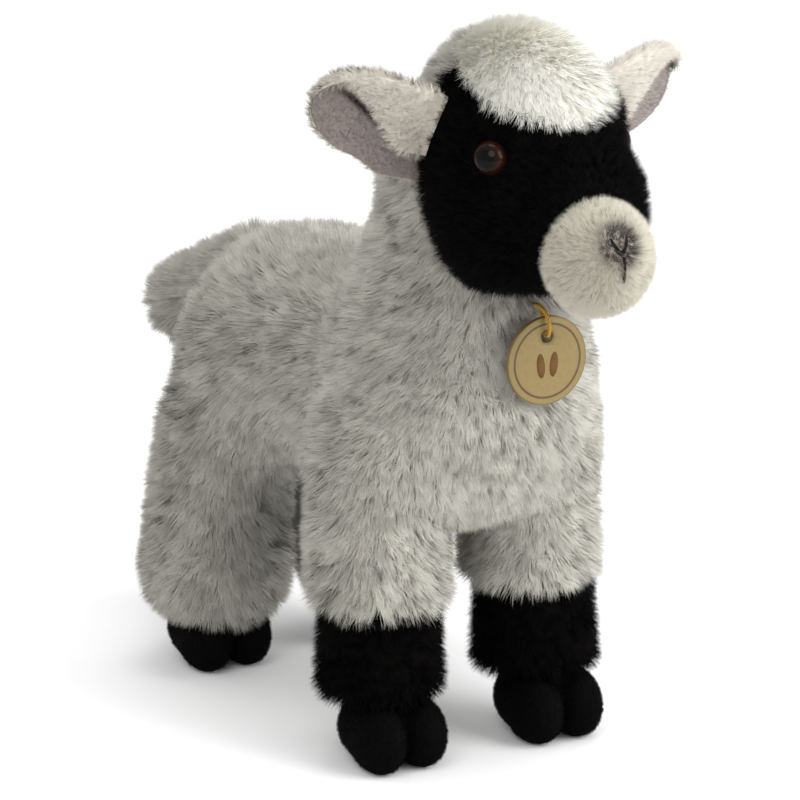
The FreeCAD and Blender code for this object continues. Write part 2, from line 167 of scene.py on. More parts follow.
# ---- meshing -------------------------------------------------------------------------
def surface(field, low, high, step, level=0.0):
    """The surface where field is -level, as points and quads, by surface nets."""
    axes = [np.arange(a, b + step, step, dtype=np.float32) for a, b in zip(low, high)]
    shape = [len(a) for a in axes]
    grid = np.stack(np.meshgrid(*axes, indexing="ij"), -1)
    values = np.concatenate([field(grid[i:i + 16]) for i in range(0, shape[0], 16)]) + level
    inside = values < 0
    cells = [n - 1 for n in shape]
    total = np.zeros(cells + [3], np.float32)
    count = np.zeros(cells, np.int32)
    for axis in range(3):
        lower = [slice(None)] * 3
        upper = [slice(None)] * 3
        lower[axis] = slice(0, -1)
        upper[axis] = slice(1, None)
        a, b = values[tuple(lower)], values[tuple(upper)]
        cross = inside[tuple(lower)] != inside[tuple(upper)]
        index = np.argwhere(cross)
        t = (a / (a - b + 1e-12))[cross]
        point = index.astype(np.float32)
        point[:, axis] += t
        u, v = [k for k in range(3) if k != axis]
        for du in (0, -1):
            for dv in (0, -1):
                cell = index.copy()
                cell[:, u] += du
                cell[:, v] += dv
                good = ((cell >= 0) & (cell < np.array(cells))).all(1)
                where = tuple(cell[good].T)
                np.add.at(total, where, point[good])
                np.add.at(count, where, 1)
    used = count > 0
    number = np.full(cells, -1, np.int64)
    number[used] = np.arange(used.sum())
    points = total[used] / count[used][:, None] * step + np.array([a[0] for a in axes])
    quads = []
    for axis in range(3):
        lower = [slice(1, -1)] * 3
        upper = [slice(1, -1)] * 3
        lower[axis] = slice(0, -1)
        upper[axis] = slice(1, None)
        low_in, high_in = inside[tuple(lower)], inside[tuple(upper)]
        u, v = [(1, 2), (2, 0), (0, 1)][axis]
        for first, turned in ((low_in & ~high_in, False), (~low_in & high_in, True)):
            index = np.argwhere(first)
            for k in range(3):
                if k != axis:
                    index[:, k] += 1
            corner = []
            for du, dv in ((-1, -1), (0, -1), (0, 0), (-1, 0)):
                cell = index.copy()
                cell[:, u] += du
                cell[:, v] += dv
                corner.append(number[tuple(cell.T)])
            quad = np.stack(corner, 1)
            quads.append(quad[:, ::-1] if turned else quad)
    quads = np.concatenate(quads)
    quads = quads[(quads >= 0).all(1)]
    points = points.astype(np.float32)
    for _ in range(2):
        distance = field(points) + level
        points = points - np.clip(distance, -step, step)[:, None] * slope(field, points)
    return points.astype(np.float64), quads


def slope(field, points, reach=0.6):
    """The outward direction of a field at points."""
    p = points.astype(np.float32)
    out = np.zeros_like(p)
    for axis in range(3):
        e = np.zeros(3, np.float32)
        e[axis] = reach
        out[:, axis] = field(p + e) - field(p - e)
    return out / (np.linalg.norm(out, axis=1, keepdims=True) + 1e-9)


def skin_of(field, low, high, step, depth):
    """The cloth that lies depth under the outline of the fur: points, quads and normals."""
    points, quads = surface(field, low, high, step, depth)
    return points, quads, slope(field, points)


def part_of(points, quads, normals, wanted):
    """The part of a skin whose faces are wanted."""
    chosen = quads[wanted]
    used = np.unique(chosen)
    number = np.full(len(points), -1, np.int64)
    number[used] = np.arange(len(used))
    return points[used], number[chosen], normals[used]


def middle(points, quads):
    return points[quads].mean(1)


def grid_quads(rows, columns, closed=False):
    """Quads between neighbouring rows of points; closed joins the last column to the first."""
    i, j = np.meshgrid(np.arange(rows - 1), np.arange(columns if closed else columns - 1), indexing="ij")
    i, j = i.ravel(), j.ravel()
    beside = (j + 1) % columns
    row, after = i * columns, (i + 1) * columns
    return np.stack([row + j, row + beside, after + beside, after + j], 1)


# ---- Blender objects -----------------------------------------------------------------
def new_mesh(name, points, faces, material, smooth=True):
    """points in the design frame, faces as a list of index arrays of equal width."""
    mesh = bpy.data.meshes.new(name)
    groups = [np.asarray(f, np.int32) for f in (faces if isinstance(faces, list) else [faces])]
    groups = [g for g in groups if len(g)]
    corners = np.concatenate([g.ravel() for g in groups])
    sizes = np.concatenate([np.full(len(g), g.shape[1], np.int32) for g in groups])
    starts = np.concatenate([[0], np.cumsum(sizes)[:-1]]).astype(np.int32)
    mesh.vertices.add(len(points))
    mesh.vertices.foreach_set("co", to_frame(points).astype(np.float32).ravel())
    mesh.loops.add(len(corners))
    mesh.loops.foreach_set("vertex_index", corners)
    mesh.polygons.add(len(sizes))
    mesh.polygons.foreach_set("loop_start", starts)
    mesh.update(calc_edges=True)
    mesh.validate(verbose=False)
    if smooth:
        mesh.shade_smooth()
    mesh.materials.append(material)
    thing = bpy.data.objects.new(name, mesh)
    bpy.context.scene.collection.objects.link(thing)
    return thing


def set_map(thing, across, upwards):
    """Gives each vertex its place in the map that the pile and eye materials read."""
    layer = thing.data.uv_layers.new(name="OFBake")
    corner_vertex = np.zeros(len(thing.data.loops), np.int32)
    thing.data.loops.foreach_get("vertex_index", corner_vertex)
    spots = np.stack([across, upwards], 1)[corner_vertex]
    layer.data.foreach_set("uv", spots.astype(np.float32).ravel())


def attach(thing, where, slot_name, nodes=()):
    """where is a body, or (body, body, start, end) in the design frame; for the tuple the piece only has its
    transform applied, with no blend made.
    """
    if isinstance(where, str):
        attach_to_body(thing, where)
    else:
        held, moving, start, end = where
        tuple(to_frame(start))
        tuple(to_frame(end))
        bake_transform(thing)
    for node in nodes:
        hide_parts(node)
    return thing


# ---- materials -----------------------------------------------------------------------
def srgb(r, g, b):
    return tuple(((c / 255.0) / 12.92 if c < 10.3 else ((c / 255.0 + 0.055) / 1.055) ** 2.4)
                 for c in (r, g, b)) + (1.0,)


def new_material(name):
    """A new material with its nodes, links and shader."""
    material = bpy.data.materials.new(name)
    material.use_nodes = True
    tree = material.node_tree
    return material, tree.nodes, tree.links, tree.nodes["Principled BSDF"]


def pile_material(name, dark, light, roughness=0.75, gloss=0.25):
    """dark and light are (root, middle, tip) colours of the darkest and lightest strand. The roots are
    darker
    than the tips: a painted shade for the gaps between tufts, where only the roots show.
    The strand's own map holds its tint across and the way from root to tip upwards."""
    material, nodes, links, shader = new_material(name)
    uv = nodes.new("ShaderNodeUVMap")
    uv.uv_map = "OFBake"
    split = nodes.new("ShaderNodeSeparateXYZ")
    links.new(uv.outputs[0], split.inputs[0])
    ramps = []
    for colours in (dark, light):
        ramp = nodes.new("ShaderNodeValToRGB")
        ramp.color_ramp.elements[0].color = srgb(*colours[0])
        ramp.color_ramp.elements[1].color = srgb(*colours[2])
        ramp.color_ramp.elements[0].position = 0.05
        ramp.color_ramp.elements[1].position = 0.95
        ramp.color_ramp.elements.new(0.5).color = srgb(*colours[1])
        links.new(split.outputs[1], ramp.inputs[0])
        ramps.append(ramp)
    mix = nodes.new("ShaderNodeMix")
    mix.data_type = "RGBA"
    links.new(split.outputs[0], mix.inputs["Factor"])
    links.new(ramps[0].outputs[0], mix.inputs["A"])
    links.new(ramps[1].outputs[0], mix.inputs["B"])
    links.new(mix.outputs["Result"], shader.inputs["Base Color"])
    shader.inputs["Roughness"].default_value = roughness
    shader.inputs["Specular IOR Level"].default_value = gloss
    return material


def cloth_material(name, colour, other, scale=900.0, roughness=0.9):
    """Backing cloth: a fine knit in two close colours."""
    material, nodes, links, shader = new_material(name)
    place = nodes.new("ShaderNodeTexCoord")
    noise = nodes.new("ShaderNodeTexNoise")
    noise.inputs["Scale"].default_value = scale
    noise.inputs["Detail"].default_value = 3.0
    links.new(place.outputs["Object"], noise.inputs["Vector"])
    mix = nodes.new("ShaderNodeMix")
    mix.data_type = "RGBA"
    mix.inputs["A"].default_value = srgb(*colour)
    mix.inputs["B"].default_value = srgb(*other)
    links.new(noise.outputs[0], mix.inputs["Factor"])
    links.new(mix.outputs["Result"], shader.inputs["Base Color"])
    shader.inputs["Roughness"].default_value = roughness
    shader.inputs["Specular IOR Level"].default_value = 0.03
    return material


# ---- pile ----------------------------------------------------------------------------
def hashed(cells, seed):
    """Three steady random numbers for each whole-number cell."""
    c = cells.astype(np.int64)
    h = (c[..., 0] * 73856093) ^ (c[..., 1] * 19349663) ^ (c[..., 2] * 83492791) ^ (seed * 2654435761)
    out = []
    for k in range(3):
        h = (h ^ (h >> 13)) * 1274126177 & 0xFFFFFFFF
        h = (h ^ (h >> 16)) & 0xFFFFFFFF
        out.append((h & 0xFFFFFF) / float(0xFFFFFF))
    return np.stack(out, -1)


def tufts(points, size, seed):
    """For each point the middle of the tuft that it belongs to, and that tuft's cell."""
    base = np.floor(points / size)
    best = np.full(len(points), np.inf)
    centre = np.zeros_like(points)
    cell = np.zeros_like(points)
    for dx in (-1, 0, 1):
        for dy in (-1, 0, 1):
            for dz in (-1, 0, 1):
                c = base + np.array([dx, dy, dz])
                spot = (c + 0.1 + 0.8 * hashed(c, seed)) * size
                d = ((spot - points) ** 2).sum(1)
                nearer = d < best
                best[nearer] = d[nearer]
                centre[nearer] = spot[nearer]
                cell[nearer] = c[nearer]
    return centre, cell


def wave(points, size, seed):
    """Smooth noise from -1 to 1 that changes over about size."""
    q = points / size
    base = np.floor(q)
    t = q - base
    t = t * t * (3 - 2 * t)
    total = np.zeros(len(points))
    for dx in (0, 1):
        for dy in (0, 1):
            for dz in (0, 1):
                value = hashed(base + np.array([dx, dy, dz]), seed)[:, 0]
                weight = (t[:, 0] if dx else 1 - t[:, 0])
                weight = weight * (t[:, 1] if dy else 1 - t[:, 1])
                weight = weight * (t[:, 2] if dz else 1 - t[:, 2])
                total += weight * value
    return total * 2 - 1


def unit(v):
    return v / (np.linalg.norm(v, axis=-1, keepdims=True) + 1e-9)


def even(length):
    """A pile of the same length all over."""
    return lambda root: np.full(len(root), length)


def near_field(field, root):
    return field(root.astype(np.float32))


def pile(name, skin, normals, material, density, length, width, comb, tint, seed,
         lean=45.0, tuft=3.0, pull=0.5, stray=0.25, wild=0.0, shade=0.35, clump=0.7, inside=None):
    """Strands grown on a skin (points, quads). length and tint are functions of the roots,
    and inside says which roots are wanted."""
    rng = np.random.default_rng(seed)
    points, quads = skin
    tris = np.concatenate([quads[:, [0, 1, 2]], quads[:, [0, 2, 3]]])
    a, b, c = (points[tris[:, k]] for k in range(3))
    area = np.linalg.norm(np.cross(b - a, c - a), axis=1) / 2
    count = int(area.sum() * density * (1.0))
    pick = rng.choice(len(tris), count, p=area / area.sum())
    r1 = np.sqrt(rng.random(count))[:, None]
    r2 = rng.random(count)[:, None]
    root = a[pick] * (1 - r1) + b[pick] * r1 * (1 - r2) + c[pick] * r1 * r2
    na, nb, nc = (normals[tris[pick, k]] for k in range(3))
    normal = unit(na * (1 - r1) + nb * r1 * (1 - r2) + nc * r1 * r2)
    if inside is not None:
        wanted = inside(root)
        root, normal = root[wanted], normal[wanted]
        count = len(root)
    flow = comb(root, normal)
    centre, cell = tufts(root, tuft, seed)
    own = hashed(cell, seed + 7) * 2 - 1
    flow = flow + own * clump + rng.normal(0, stray, (count, 3))
    flow = unit(flow - (flow * normal).sum(1, keepdims=True) * normal)
    reach = length(root) * (0.82 + 0.2 * rng.random(count)) * (1 + 0.14 * own[:, 0])
    if wild:
        loose = rng.random(count) < wild
        reach = np.where(loose, reach * 1.35, reach)
    tilt = np.radians(lean + 9 * own[:, 1] + rng.normal(0, 6, count))
    towards = centre - root
    towards = towards - (towards * normal).sum(1, keepdims=True) * normal
    up, over = np.cos(tilt)[:, None], np.sin(tilt)[:, None]
    tip = root + reach[:, None] * (normal * up + flow * over) + towards * pull
    start = root - normal * 0.6
    along = unit(tip - start)
    across = unit(np.cross(along, normal))
    twist = rng.normal(0, 0.45, count)[:, None]
    across = across * np.cos(twist) + np.cross(along, across) * np.sin(twist)
    thick = (width * (0.8 + 0.4 * rng.random(count)))[:, None]
    corners = np.stack([start - across * thick * 0.5, start + across * thick * 0.5, tip], 1)
    number = np.arange(count)[:, None] * 3
    mesh = new_mesh(name, corners.reshape(-1, 3), number + np.array([0, 1, 2]), material)
    shown = unit(normal + own * shade + along * 0.25)
    facing = np.repeat(shown, 3, axis=0)
    mesh.data.normals_split_custom_set_from_vertices(facing)
    tone = np.clip(tint(root, own, rng), 0.01, 0.99)
    root_to_tip = np.array([0.03, 0.03, 0.97])
    set_map(mesh, np.repeat(tone, 3), np.tile(root_to_tip, count))
    return mesh


def swirled(flow, normal, root, size, seed, strength):
    """The flow turned to one side and the other, over about size."""
    return flow + np.cross(flow, normal) * wave(root, size, seed)[:, None] * strength


def furred(name, skin, cloth, where, slot_name, nodes, *coat, **hair):
    """A piece of backing cloth and the pile that grows on it; coat and hair go to pile()."""
    points, quads, normals = skin
    attach(new_mesh(name, points, quads, cloth), where, slot_name, nodes)
    attach(pile(name + "_pile", (points, quads), normals, *coat, **hair), where, slot_name)


# ---- colours -------------------------------------------------------------------------
# The root colours of each pile are darker than its tips: painted shade for the gaps between tufts.
GREY = pile_material("grey_pile", [(134, 127, 118), (154, 149, 140), (172, 169, 160)],
                     [(184, 179, 168), (212, 209, 198), (230, 228, 217)])
BLACK = pile_material("black_pile", [(1, 1, 1), (3, 3, 3), (7, 7, 7)],
                      [(4, 4, 4), (13, 12, 11), (34, 31, 29)], roughness=0.7, gloss=0.02)
WHITE = pile_material("white_pile", [(206, 202, 188), (232, 230, 219), (246, 245, 238)],
                      [(226, 223, 210), (248, 247, 240), (254, 254, 250)])
EAR_CREAM = pile_material("ear_pile", [(160, 152, 140), (188, 181, 169), (206, 201, 190)],
                          [(202, 195, 182), (224, 219, 208), (236, 232, 224)])
TAUPE = pile_material("taupe_pile", [(112, 102, 98), (136, 126, 121), (158, 149, 145)],
                      [(140, 130, 126), (172, 163, 159), (196, 189, 184)])
# The grey, white, cream, ear and taupe cloths are darker than the pile on them: painted shade where gaps
# between strands show the cloth.
GREY_CLOTH = cloth_material("grey_cloth", (136, 127, 121), (164, 156, 150))
BLACK_CLOTH = cloth_material("black_cloth", (4, 4, 5), (12, 11, 12))
WHITE_CLOTH = cloth_material("white_cloth", (214, 210, 196), (236, 233, 222))
CREAM_CLOTH = cloth_material("cream_cloth", (150, 139, 127), (186, 177, 165))
EAR_CLOTH = cloth_material("ear_cloth", (186, 178, 166), (206, 199, 188))
TAUPE_CLOTH = cloth_material("taupe_cloth", (120, 110, 106), (146, 137, 132))


# ---- grey plush: torso, neck and legs --------------------------------------------------
DEPTH = 6.0                     # from the outline of the fur down to the cloth
GREY_DENSITY = 4.8              # strands to a square millimetre
GREY_WIDTH = 0.34               # of a strand, at its root
STEP = 2.0


def grey_skin():
    """The torso, neck and legs in one skin, open where the head covers it."""
    points, quads, normals = skin_of(grey_field, (-72, -125, 8), (72, 116, 262), STEP, DEPTH)
    free = head_field(middle(points, quads)) + DEPTH > -4.0
    return part_of(points, quads, normals, free)


def down_and_back(root, normal):
    """Down the sides and back along the top, with slow swirls."""
    flow = np.tile(np.array([0.0, 0.35, -1.0]), (len(root), 1))
    on_top = np.clip((normal[:, 2] - 0.35) / 0.5, 0, 1)[:, None]
    flow = flow * (1 - on_top) + np.array([0.0, 1.0, -0.2]) * on_top
    return swirled(flow, normal, root, 26.0, 5, 0.55)


def downwards(root, normal):
    return swirled(np.tile([0.0, 0.05, -1.0], (len(root), 1)), normal, root, 18.0, 6, 0.5)


def grey_tint(root, own, rng):
    """Paler on the chest, the throat and the front legs, with darker patches elsewhere."""
    front = np.clip((-root[:, 1] - 38) / 45, 0, 1) * np.clip((200 - root[:, 2]) / 60, 0, 1)
    low = np.clip((120 - root[:, 2]) / 60, 0, 1) * (root[:, 1] < 0)
    pale = np.maximum(front * 0.34, low * 0.30)
    patch = wave(root, 15.0, 21) * 0.12 + wave(root, 6.0, 22) * 0.17
    return 0.42 + pale + patch + own[:, 2] * 0.13 + rng.normal(0, 0.13, len(root))


def long_pile(root):
    return 8.4 + 0.8 * wave(root, 12.0, 31)


GUSSET_HALF_WIDTH, GUSSET_HALF_LENGTH, GUSSET_TOP = 18.0, 60.0, 100.0
LEG_SPLIT, LEG_MOVES = 116.0, 84.0      # a leg's skin is the part below LEG_SPLIT; LEG_MOVES only goes to attach(), which makes no blend
NECK_Y, NECK_REACH = -61.0, 53.0
NECK_FROM, NECK_TO = 146.0, 178.0
NAPE_FROM, NAPE_TO = 192.0, 222.0
points, quads, normals = grey_skin()
centre = middle(points, quads)
folded = both(centre)
nearest_leg = np.minimum(front_leg_field(folded), hind_leg_field(folded))
nearest_trunk = np.minimum(torso_field(folded), neck_field(folded))
in_leg = (centre[:, 2] < LEG_SPLIT) & (nearest_leg < nearest_trunk + 1.5)
column = np.hypot(centre[:, 0], centre[:, 1] - NECK_Y) < NECK_REACH
in_nape = (centre[:, 2] > NAPE_FROM) & ~in_leg
in_neck = (centre[:, 2] > NECK_FROM) & column & ~in_nape & ~in_leg
in_torso = ~(in_leg | in_neck | in_nape)
right = centre[:, 0] < 0
front = centre[:, 1] < MIDDLE_Y
under = in_torso & (np.abs(centre[:, 0]) < GUSSET_HALF_WIDTH) & (centre[:, 2] < GUSSET_TOP)
under &= np.abs(centre[:, 1] - MIDDLE_Y) < GUSSET_HALF_LENGTH

# name, faces, body or blend, CAD nodes that it stands for
GREY_ZONES = [("belly_gusset", under, "torso", ["belly_gusset"])]
for side_name, on_side in (("right", right), ("left", ~right)):
    GREY_ZONES += [
        ("torso_panel_" + side_name, in_torso & ~under & on_side, "torso", ["torso_panel_" + side_name]),
        ("neck_panel_" + side_name, in_neck & on_side,
         ("torso", "neck", (0, NECK_Y, NECK_FROM), (0, NECK_Y, NECK_TO)), ["neck_panel_" + side_name]),
        ("nape_panel_" + side_name, in_nape & on_side,
         ("neck", "head", (0, NECK_Y, NAPE_FROM), (0, NECK_Y, NAPE_TO)), []),
    ]
    for pair, leg_y, this_pair in (("front", FRONT_LEG_Y, front), ("hind", HIND_LEG_Y, ~front)):
        leg = pair + "_leg_" + side_name
        bend = ("torso", leg, (0, leg_y, LEG_SPLIT), (0, leg_y, LEG_MOVES))
        GREY_ZONES.append((leg + "_sleeve", in_leg & this_pair & on_side, bend,
                           [leg + "_sleeve", leg + "_stuffing"]))
GREY_ZONES[0][3].append("torso_stuffing")
GREY_ZONES[2][3].append("neck_stuffing")
for k, (zone, wanted, where, nodes) in enumerate(GREY_ZONES):
    comb = downwards if "leg" in zone else down_and_back
    furred(zone, part_of(points, quads, normals, wanted), GREY_CLOTH, where, "grey_plush", nodes,
           GREY, GREY_DENSITY, long_pile, GREY_WIDTH, comb, grey_tint, 100 + k,
           lean=34, tuft=3.0, pull=0.36, shade=0.3)

# ---- head --------------------------------------------------------------------------------
HEAD_DEPTH = 5.0
EYE = np.array([31.2, -124.7, 237.0])
EYE_R = 6.2
NOSE = np.array([-1.5, -168.5, 211.5])
CROWN_BACK = -71.0


def above_crown_line(p):
    """Height above the front edge of the white patch, which dips between the eyes."""
    side = p[:, 0] ** 2 * 0.0043 * np.clip((-99 - p[:, 1]) / 30, 0, 1)
    under_pile = 5.5 * np.clip((p[:, 1] + 140) / 22, 0, 1)
    return p[:, 2] - (247 + 0.45 * (p[:, 1] + 142) + side - under_pile)


def behind_face_line(p):
    """Distance behind the seam where the black face meets the grey."""
    return p[:, 1] + 86.0 + np.clip(215 - p[:, 2], 0, 60) * 0.7 + np.clip(p[:, 2] - 215, 0, 60) * 0.12


def in_crown(p):
    return (above_crown_line(p) > 0) & (p[:, 1] < CROWN_BACK)


def in_face(p):
    return ~in_crown(p) & (behind_face_line(p) < 0)


def from_eye(p):
    return np.linalg.norm(both(p) - EYE * np.array([-1, 1, 1]), axis=1)


def ragged(p):
    """The same points pushed about a little, so that two colours of pile mix at a seam."""
    return p + np.stack([wave(p, 2.2, 61), wave(p, 2.2, 62), wave(p, 2.2, 63)], 1) * 1.1


def from_nose(root, normal):
    flow = unit(root - NOSE)
    eye = np.where(root[:, :1] < 0, EYE * np.array([-1, 1, 1]), EYE)
    near = np.clip(1.6 - from_eye(root) / 10.0, 0, 1)[:, None]
    flow = flow * (1 - near) + unit(root - eye) * near
    below_crown = np.clip(1 + above_crown_line(root) / 12.0, 0, 1)[:, None]
    flow = flow * (1 - below_crown) + np.array([0.0, -0.3, -1.0]) * below_crown
    return swirled(flow, normal, root, 16.0, 64, 0.35)


def over_brow(root, normal):
    """The crown's pile runs forward and down, and parts to each side of the middle."""
    flow = np.stack([root[:, 0] * 0.032, np.full(len(root), -0.8), np.full(len(root), -0.6)], 1)
    return swirled(flow, normal, root, 20.0, 65, 0.25)


def face_length(root):
    near_eye = np.clip((from_eye(root) - 4.0) / 8.0, 0.35, 1)
    near_muzzle = np.clip(near_field(muzzle_field, root) / 9.0, 0.55, 1)
    return 6.6 * near_eye * near_muzzle


def face_tint(root, own, rng):
    """Black, with a few stray pale hairs."""
    pale = np.where(rng.random(len(root)) < 0.01, 0.8, 0.0)
    return 0.16 + 0.12 * own[:, 2] + pale + rng.normal(0, 0.07, len(root))


def crown_tint(root, own, rng):
    edge = np.clip(1 - above_crown_line(root) / 5.0, 0, 1) * 0.25
    return 0.72 - edge + own[:, 2] * 0.06 + rng.normal(0, 0.12, len(root))


points, quads, normals = skin_of(head_field, (-54, -170, 172), (54, -36, 292), STEP, HEAD_DEPTH)
centre = middle(points, quads)
shown = (grey_field(centre) + DEPTH > -9.0) & (muzzle_field(centre) > -5.0)
quads = quads[shown]
centre = centre[shown]
right = centre[:, 0] < 0
crown, face = in_crown(centre), in_face(centre)
head_skin = (points, quads)
HEAD_ZONES = [
    ("crown_patch", crown, WHITE_CLOTH, "white_plush", ["crown_patch"]),
    ("face_panel_right", face & right, BLACK_CLOTH, "black_plush", ["face_panel_right"]),
    ("face_panel_left", face & ~right, BLACK_CLOTH, "black_plush", ["face_panel_left"]),
    ("head_back_panel", ~crown & ~face, GREY_CLOTH, "grey_plush", ["head_back_panel", "head_stuffing"]),
]
for zone, wanted, cloth, slot_name, nodes in HEAD_ZONES:
    zone_points, zone_quads, _ = part_of(points, quads, normals, wanted)
    attach(new_mesh(zone, zone_points, zone_quads, cloth), "head", slot_name, nodes)


def clear_of_face_parts(root):
    return (from_eye(root) > EYE_R + 0.3) & (near_field(muzzle_field, root) > -2.5)


attach(pile("crown_patch_pile", head_skin, normals, WHITE, 7.5, even(7.0), 0.24, over_brow, crown_tint, 201,
            lean=57, tuft=1.8, pull=0.2, stray=0.16, shade=0.03, clump=0.3,
            inside=lambda root: in_crown(ragged(root))), "head", "white_plush")
for side_name, sign in (("right", -1), ("left", 1)):
    def on_this_side(root):
        return in_face(ragged(root)) & clear_of_face_parts(root) & (root[:, 0] * sign > 0)

    attach(pile("face_panel_" + side_name + "_pile", head_skin, normals, BLACK, 4.4, face_length, 0.3,
                from_nose, face_tint, 202 + sign, lean=50, tuft=2.0, pull=0.3, stray=0.3, wild=0.01,
                shade=0.15, inside=on_this_side), "head", "black_plush")
attach(pile("head_back_panel_pile", head_skin, normals, GREY, GREY_DENSITY, even(7.0), GREY_WIDTH,
            down_and_back, grey_tint, 205, lean=46, tuft=3.4, pull=0.5, shade=0.3,
            inside=lambda root: ~in_crown(ragged(root)) & ~in_face(ragged(root))), "head", "grey_plush")

# ---- muzzle, nose and mouth ----------------------------------------------------------------
MUZZLE_DEPTH = 2.8


def muzzle_comb(root, normal):
    """The pile runs away from the nose, and straight down over the nose itself."""
    flow = unit(root - NOSE)
    near = np.exp(-((root - NOSE) ** 2).sum(1) / 5.0 ** 2)[:, None]
    flow = flow * (1 - near) + np.array([0.0, -0.1, -1.0]) * near
    return swirled(flow, normal, root, 9.0, 71, 0.3)


def nose_shade(root):
    """1 in the middle of the dark airbrushed nose, fading to 0."""
    q = (root - NOSE - np.array([0.0, 1.5, 1.0])) / np.array([5.6, 8.0, 6.0])
    lip = (root - NOSE - np.array([0.0, 0.5, -7.0])) / np.array([1.2, 6.0, 4.5])
    patch = np.exp(-(q ** 2).sum(1) ** 1.2)
    line = np.exp(-(lip ** 2).sum(1) ** 1.2) * 0.8
    return np.clip(np.maximum(patch * 2.2, line), 0, 1)


def muzzle_tint(root, own, rng):
    dark = np.clip(nose_shade(root) + rng.normal(0, 0.08, len(root)) * (nose_shade(root) > 0.06), 0, 1)
    plain = 0.90 + own[:, 2] * 0.04 + wave(root, 5.0, 72) * 0.03 + rng.normal(0, 0.035, len(root))
    return plain * (1 - dark) + 0.03 * dark


# The pale strand's roots are darker than its tips, a painted shade between the tufts; the dark strand is the
# airbrushed nose.
MUZZLE_PILE = pile_material("muzzle_pile", [(10, 8, 9), (22, 18, 19), (44, 38, 38)],
                            [(186, 179, 161), (208, 202, 185), (224, 219, 202)])
points, quads, normals = skin_of(muzzle_field, (-26, -175, 178), (26, -122, 231), STEP * 0.6, MUZZLE_DEPTH)
quads = quads[head_field(middle(points, quads)) > -8.0]
furred("muzzle_panel", (points, quads, normals), CREAM_CLOTH, "head", "cream_plush", ["muzzle_panel"],
       MUZZLE_PILE, 11.0, even(3.9), 0.2, muzzle_comb, muzzle_tint, 211,
       lean=42, tuft=1.1, pull=0.2, stray=0.3, shade=0.14,
       inside=lambda root: near_field(head_field, root) > -5.0)


def on_muzzle(x, z, depth):
    a, b, c = MUZZLE_SEMI - depth
    return np.array([x, MUZZLE[1] - b * math.sqrt(1 - (x / a) ** 2 - ((z - MUZZLE[2]) / c) ** 2), z])


def smooth_line(corners, count):
    """Points along a smooth curve through corners."""
    corners = np.asarray(corners, float)
    ends = np.vstack([2 * corners[0] - corners[1], corners, 2 * corners[-1] - corners[-2]])
    t = np.linspace(0, len(corners) - 1 - 1e-6, count)
    k = t.astype(int)
    f = (t - k)[:, None]
    a, b, c, d = ends[k], ends[k + 1], ends[k + 2], ends[k + 3]
    bend = (2 * a - 5 * b + 4 * c - d) * f ** 2
    twist = (3 * b - a - 3 * c + d) * f ** 3
    return 0.5 * (2 * b + (c - a) * f + bend + twist)


def tube_faces(path, radius, sides=8):
    """A closed tube about a path, as points, quads and the triangles of its two ends."""
    path = np.asarray(path, float)
    along = unit(np.gradient(path, axis=0))
    up = unit(np.cross(along, np.array([1.0, 0.31, 0.17])))
    out = np.cross(along, up)
    turn = np.arange(sides) * 2 * math.pi / sides
    radius = np.broadcast_to(np.asarray(radius, float), (len(path),))[:, None, None]
    ring = up[:, None] * np.cos(turn)[None, :, None] + out[:, None] * np.sin(turn)[None, :, None]
    points = (path[:, None] + ring * radius).reshape(-1, 3)
    faces = grid_quads(len(path), sides, closed=True)
    first, last = len(points), len(points) + 1
    points = np.vstack([points, path[0], path[-1]])
    base = (len(path) - 1) * sides
    caps = [[first, (k + 1) % sides, k] for k in range(sides)]
    caps += [[last, base + k, base + (k + 1) % sides] for k in range(sides)]
    return points, faces, np.array(caps)


def tubes(name, paths, radii, material, sides=8):
    """Several tubes in one mesh."""
    points, quads, caps = [], [], []
    start = 0
    for path, radius in zip(paths, radii):
        p, q, c = tube_faces(path, radius, sides)
        points.append(p)
        quads.append(q + start)
        caps.append(c + start)
        start += len(p)
    return new_mesh(name, np.vstack(points), [np.vstack(quads), np.vstack(caps)], material)


THREAD_RADIUS = 0.3
THREAD = cloth_material("black_thread", (6, 5, 5), (26, 23, 22), 2600.0, 0.5)
NOSTRILS = [(-5, 214), (-2.5, 211), (0, 209.5), (2.5, 211), (5, 214)]
MOUTH = [(0, 208.6), (0.2, 205.0), (0.1, 202.0), (0, 199.5)]
nose_paths = [smooth_line([on_muzzle(x * 0.6 + NOSE[0], z + lift, 2.0) for x, z in NOSTRILS], 30)
              for lift in (-0.5, 0.0, 0.5)]
mouth_paths = [smooth_line([on_muzzle(x + NOSE[0] + aside, z, 1.2) for x, z in MOUTH], 24)
               for aside in (-0.2, 0.2)]
attach(tubes("nose_stitch", nose_paths, [THREAD_RADIUS] * 3, THREAD), "head", "thread", ["nose_stitch"])
attach(tubes("mouth_stitch", mouth_paths, [THREAD_RADIUS] * 2, THREAD), "head", "thread", ["mouth_stitch"])

# ---- eyes --------------------------------------------------------------------------------
EYE_COLOURS = [(2, 2, 2), (3, 2, 2), (38, 17, 8)]       # black pupil to brown rim
EYE_GLASS = pile_material("eye_glass", EYE_COLOURS, EYE_COLOURS, roughness=0.05, gloss=0.05)
EYE_GLASS.node_tree.nodes["Principled BSDF"].inputs["Coat Weight"].default_value = 0.12
EYE_GLASS.node_tree.nodes["Principled BSDF"].inputs["Coat Roughness"].default_value = 0.02


def lathe(name, centre, axis, profile, material, sides=48):
    """Spins (radius, height) pairs about an axis. Its map runs from the axis outwards."""
    axis = unit(np.asarray(axis, float))
    side = unit(np.cross(axis, [0.0, 0.0, 1.0]))
    other = np.cross(axis, side)
    turn = np.arange(sides) * 2 * math.pi / sides
    ring = side * np.cos(turn)[:, None] + other * np.sin(turn)[:, None]
    points = np.vstack([centre + ring * r + axis * h for r, h in profile])
    thing = new_mesh(name, points, grid_quads(len(profile), sides, closed=True), material)
    widest = max(r for r, _ in profile)
    across = np.repeat([r / widest for r, _ in profile], sides)
    set_map(thing, np.full(len(points), 0.5), np.clip(across, 0.01, 0.99))
    return thing


